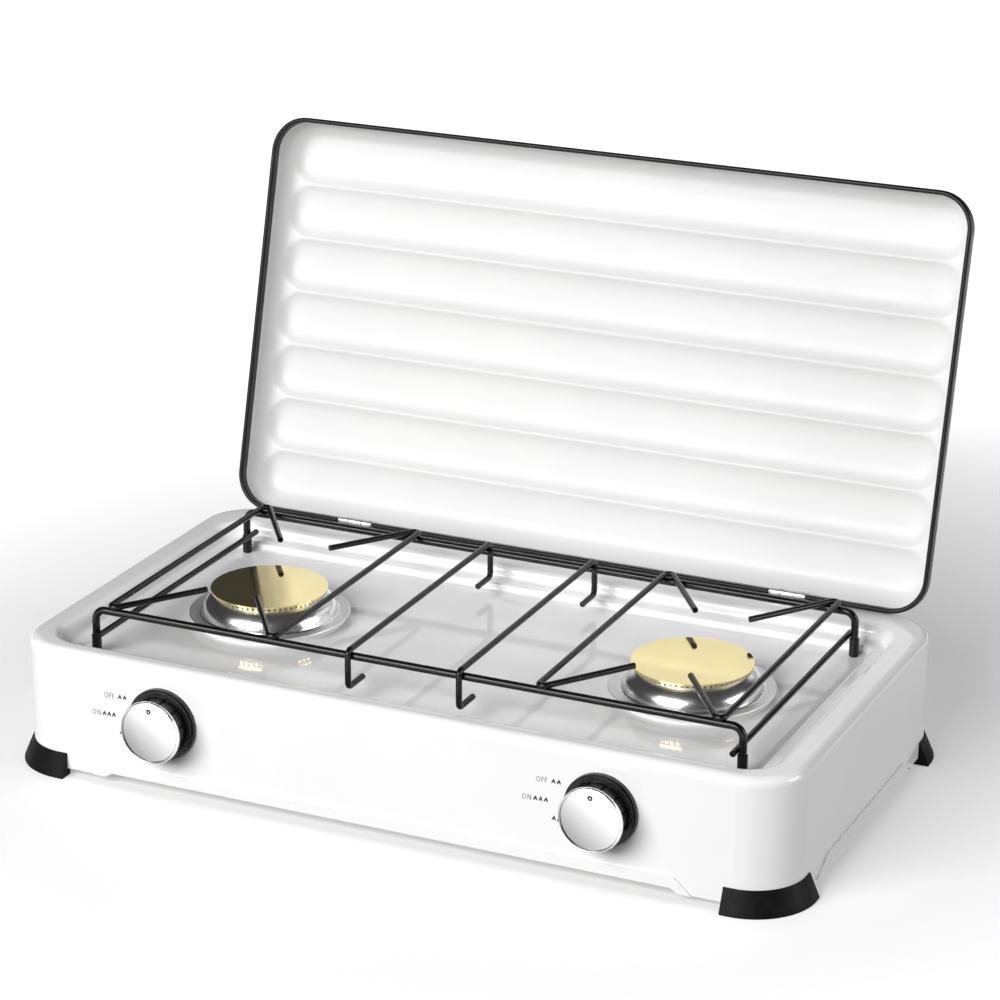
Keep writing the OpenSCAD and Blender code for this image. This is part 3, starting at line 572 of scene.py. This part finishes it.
def lid_shell_piece():
    """The pressed lid: channels, rounded edge and wall, with room for the hinges."""
    lo, hi = closed_lid_box()
    rim_edge = HINGE.y + TRIM_OUT
    half_x = hi.x - LID_CORNER_R
    y0, y1 = lo.y + LID_CORNER_R, hi.y - LID_CORNER_R
    bottom = lo.z
    panel = bottom + LID_DEPTH
    inner_r = LID_CORNER_R - SHEET
    notches = [middle("hinge_leaf_left").x, middle("hinge_leaf_right").x]
    gap = 0.02 * MM
    xs = spaced([(-half_x, 0), (-COARSE_HALF, FINE), (COARSE_HALF, COARSE), (half_x, FINE)])
    for centre in notches:
        for side in (-1, 1):
            edge = centre + side * HINGE_NOTCH_HALF
            xs += [edge - gap, edge + gap]
    xs = sorted(xs)
    ys = spaced([(y0, 0), (y1, ACROSS_STEP)])
    stations = outline_stations(xs, ys, 12)

    def rim_height(station):
        at_rear = station[3] > 0.99
        in_notch = any(abs(station[0] - c) < HINGE_NOTCH_HALF for c in notches)
        return bottom + HINGE_NOTCH_H if at_rear and in_notch else bottom

    bm = bmesh.new()
    rings = [add_ring(bm, stations, inner_r, rim_height)]
    rings.append(add_ring(bm, stations, inner_r, bottom + HINGE_NOTCH_H + 1 * MM))
    edge_centre = (inner_r - LID_EDGE_R, panel - LID_EDGE_R)
    profile = arc_points(edge_centre, LID_EDGE_R, 0, 90, 14)
    inward = spaced([(0, 0), (edge_centre[0], FINE)])
    profile += [(edge_centre[0] - step, panel) for step in inward[1:]]
    for r, z in profile:
        rings.append(add_ring(bm, stations, r, z))
    join_rings(bm, rings)
    grid = [[bm.verts.new((x, y, panel)) for x in xs] for y in ys]
    for row, above in zip(grid, grid[1:]):
        for k in range(len(xs) - 1):
            bm.faces.new((row[k], row[k + 1], above[k + 1], above[k]))
    bmesh.ops.remove_doubles(bm, verts=bm.verts, dist=1e-7)
    for v in bm.verts:
        if v.co.z > panel - LID_EDGE_R:
            v.co.z += channel_rise(v.co.x, rim_edge - v.co.y)
    bmesh.ops.transform(bm, matrix=LID_TURN, verts=bm.verts)
    # The lid takes a darker copy of the white enamel: painted shade.
    piece = add_piece("lid_pressing", bm, "lid", "white_enamel", ["lid_shell"], finish="lid_enamel_painted_shade")
    add_shell(piece, SHEET, 1)


# ---------------------------------------------------------------- knobs and their marks

FACE_DOME_R = 0.907           # of the face's radius
FACE_DOME_H = 0.9 * MM
# Rim outside the dome: share of the face's radius, and depth behind its front in millimetres.
FACE_RIM = [(0.915, 1.5), (0.927, 1.55), (0.934, 0.8), (0.941, 0.5), (0.954, 0.33), (0.968, 0.36),
            (0.983, 0.6), (0.994, 0.95), (1, 1.4), (1, 2.2), (1, 2.6), (0.993, 2.9)]
POINTER_UP = 14.5 * MM
MARK_T = 0.06 * MM            # printed film


def knob_face_piece(side):
    """Chrome face: a shallow dome, a dark groove and a bright rounded rim."""
    lo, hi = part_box("knob_face_" + side)
    depth = hi[1] - lo[1]
    radius = (hi[0] - lo[0]) / 2
    dome = [(radius * FACE_DOME_R * k / 12, FACE_DOME_H * (k / 12) ** 2) for k in range(13)]
    rim = [(share * radius, back * MM) for share, back in FACE_RIM]
    profile = dome + rim + [(0.98 * radius, depth), (0, depth)]
    bm = bmesh.new()
    add_lathe(bm, profile, 128, lambda x, z, d: (x, d, z))
    centre = middle("knob_face_" + side)
    piece = add_piece("knob_dial_" + side, bm, "knob_turn_" + side, "knob_chrome", ["knob_face_" + side],
                      at=(centre.x, lo[1], centre.z))
    sharpen(piece)


def knob_pointer_piece(side):
    """Pointer: a small black ring set into the face."""
    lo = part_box("knob_face_" + side)[0]
    centre = middle("knob_face_" + side)
    ring = [(0.5, 0.9), (0.5, 0.5), (0.7, 0.34), (1.0, 0.26), (1.35, 0.28), (1.6, 0.42), (1.7, 0.6),
            (1.7, 0.9), (0.5, 0.9)]
    bm = bmesh.new()
    add_lathe(bm, [(r * MM, d * MM) for r, d in ring], 40, lambda x, z, d: (x, d, z))
    bmesh.ops.remove_doubles(bm, verts=bm.verts, dist=1e-7)
    add_piece("knob_dot_" + side, bm, "knob_turn_" + side, "knob_black", ["knob_pointer_" + side],
              at=(centre.x, lo[1], centre.z + POINTER_UP))


def add_film(bm, points, at):
    """One printed shape: an outline in millimetres, laid on the front wall as a thin film."""
    x0, y0, z0 = at
    front = [bm.verts.new((x0 + x * MM, y0 - MARK_T, z0 + z * MM)) for x, z in points]
    back = [bm.verts.new((x0 + x * MM, y0 + MARK_T, z0 + z * MM)) for x, z in points]
    bm.faces.new(front)
    bm.faces.new(back[::-1])
    for k in range(len(points)):
        j = (k + 1) % len(points)
        bm.faces.new((front[k], back[k], back[j], front[j]))


def bar(x0, z0, x1, z1, width=0.42):
    """Outline of a straight stroke of a letter, in millimetres."""
    length = math.hypot(x1 - x0, z1 - z0)
    nx, nz = -(z1 - z0) / length * width / 2, (x1 - x0) / length * width / 2
    return [(x0 + nx, z0 + nz), (x1 + nx, z1 + nz), (x1 - nx, z1 - nz), (x0 - nx, z0 - nz)]


CAP_HALF = 1.75           # half the height of a letter, in millimetres
LETTER_O_HALF = 1.35      # half its width
LETTER_O_INNER = 0.74     # the hole's share of its size


def letter_o(bm, at):
    steps = 20
    for k in range(steps):
        a, b = (2 * math.pi * i / steps for i in (k, k + 1))
        ring = ((1, a), (1, b), (LETTER_O_INNER, b), (LETTER_O_INNER, a))
        add_film(bm, [(r * LETTER_O_HALF * math.cos(t), r * CAP_HALF * math.sin(t)) for r, t in ring], at)


def letter_f(bm, at):
    upright = bar(-0.6, -CAP_HALF, -0.6, CAP_HALF)
    for stroke in (upright, bar(-0.39, 1.54, 0.85, 1.54), bar(-0.39, 0.15, 0.65, 0.15)):
        add_film(bm, stroke, at)


def letter_n(bm, at):
    uprights = [bar(x, -CAP_HALF, x, CAP_HALF) for x in (-0.95, 0.95)]
    for stroke in (uprights[0], bar(-0.74, 1.5, 0.74, -1.5), uprights[1]):
        add_film(bm, stroke, at)


FLAME = [(0.2, 1.7), (0.6, 1.15), (1.05, 0.1), (1.4, -1.2), (1.1, -1.55), (0.6, -1.35), (0.25, -0.75),
         (0, -0.55), (-0.3, -0.85), (-0.75, -1.55), (-1.2, -1.6), (-1.35, -1.1), (-0.85, 0.1), (-0.3, 1.0)]
# Marks beside each knob, in millimetres from its axis: what is printed, across and up.
LETTERS = [(letter_o, -41.3, 11.9), (letter_f, -38.4, 11.9), (letter_f, -36.2, 11.9),
           (letter_o, -50.6, -1.2), (letter_n, -47.1, -1.2)]
FLAMES = [(-31.4, 12.2), (-27.9, 12.3), (-43.2, -1.0), (-39.7, -0.9), (-36.2, -0.8),
          (-30.9, -11.9), (-27.4, -12.0)]


def mark_pieces(side):
    """OFF, ON and the small flames printed on the front wall."""
    axis = middle("knob_face_" + side)
    wall_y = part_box("knob_bezel_" + side)[1][1]
    letters = bmesh.new()
    for draw, x, z in LETTERS:
        draw(letters, (axis.x + x * MM, wall_y, axis.z + z * MM))
    add_piece("mark_words_" + side, letters, "base", "knob_black", smooth=False, finish="mark_grey")
    flames = bmesh.new()
    for x, z in FLAMES:
        add_film(flames, FLAME, (axis.x + x * MM, wall_y, axis.z + z * MM))
    add_piece("mark_flames_" + side, flames, "base", "knob_black", smooth=False, finish="mark_black")


# ---------------------------------------------------------------- burner collars

FLANGE_R = 53.3 * MM
DOME_BASE_R = 46.3 * MM
DOME_TOP_R = 37 * MM
DOME_BULGE = 1.7 * MM
LIP_R = 33 * MM
FILLET_R = 1.4 * MM       # where the dome meets the flange
WALL_STEPS = 16
SWELL_OUT, SWELL_UP = 0.9, 0.3      # direction in which the dome's wall bulges
TURN_STEPS = 160


def flange_piece(side):
    """Flat flange of a drip collar, with a rolled edge."""
    name = "burner_collar_" + side
    centre = middle(name)
    edge = [(0.9, 0), (0.25, 0.1), (0, 0.45), (0.25, 0.95), (0.9, 1.15), (1.7, 1.0), (2.6, 0.8)]
    inner = DOME_BASE_R - 0.5 * MM
    profile = [(FLANGE_R - r * MM, z * MM) for r, z in edge]
    profile += [(inner, SHEET), (inner, 0), profile[0]]
    bm = bmesh.new()
    add_lathe(bm, profile, TURN_STEPS, lambda x, y, z: (x, y, z))
    bmesh.ops.remove_doubles(bm, verts=bm.verts, dist=1e-7)
    piece = add_piece("burner_flange_" + side, bm, "base", "polished_steel", finish="satin_steel",
                      at=(centre.x, centre.y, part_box(name)[0][2]))
    sharpen(piece)


def collar_piece(side):
    """Polished dome of a drip collar: fillet, convex wall and the lip under the burner."""
    name = "burner_collar_" + side
    lo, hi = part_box(name)
    centre = middle(name)
    height = hi[2] - lo[2]
    fillet = arc_points((DOME_BASE_R, SHEET + FILLET_R), FILLET_R, 270, 200, 6)
    foot_r, foot_z = fillet[-1]
    wall = []
    for k in range(1, WALL_STEPS + 1):
        t = k / WALL_STEPS
        swell = DOME_BULGE * math.sin(math.pi * t)
        r = foot_r + (DOME_TOP_R - foot_r) * t + SWELL_OUT * swell
        z = foot_z + (height - foot_z) * t + SWELL_UP * swell
        wall.append((r, z))
    lip = [(DOME_TOP_R - 0.8 * MM, height), (LIP_R, height), (LIP_R, height - SHEET),
           (DOME_TOP_R - 1 * MM, height - SHEET)]
    inside = [(r - SHEET, z - 0.4 * SHEET) for r, z in wall[-3:2:-1]]
    under = [(foot_r - SHEET, SHEET / 2), (DOME_BASE_R, SHEET / 2), fillet[0]]
    profile = fillet + wall + lip + inside + under
    bm = bmesh.new()
    add_lathe(bm, profile, TURN_STEPS, lambda x, y, z: (x, y, z))
    bmesh.ops.remove_doubles(bm, verts=bm.verts, dist=1e-7)
    piece = add_piece("burner_drip_dome_" + side, bm, "base", "polished_steel", [name],
                      at=(centre.x, centre.y, lo[2]))
    sharpen(piece)


def finish_cad_nodes():
    """Gives every CAD node the procedural material of its slot."""
    slots = {s["node"]: s["material_slot"] for s in frame["record"]["subparts"]}
    for name, node in frame["nodes"].items():
        node.data.materials.clear()
        node.data.materials.append(materials[slots[name]])


materials = {name: make() for name, make in MAKERS.items()}
make_camera()
make_lights()
make_floor()
finish_cad_nodes()
lid_shell_piece()
for side_name in ("left", "right"):
    knob_face_piece(side_name)
    knob_pointer_piece(side_name)
    mark_pieces(side_name)
    flange_piece(side_name)
    collar_piece(side_name)
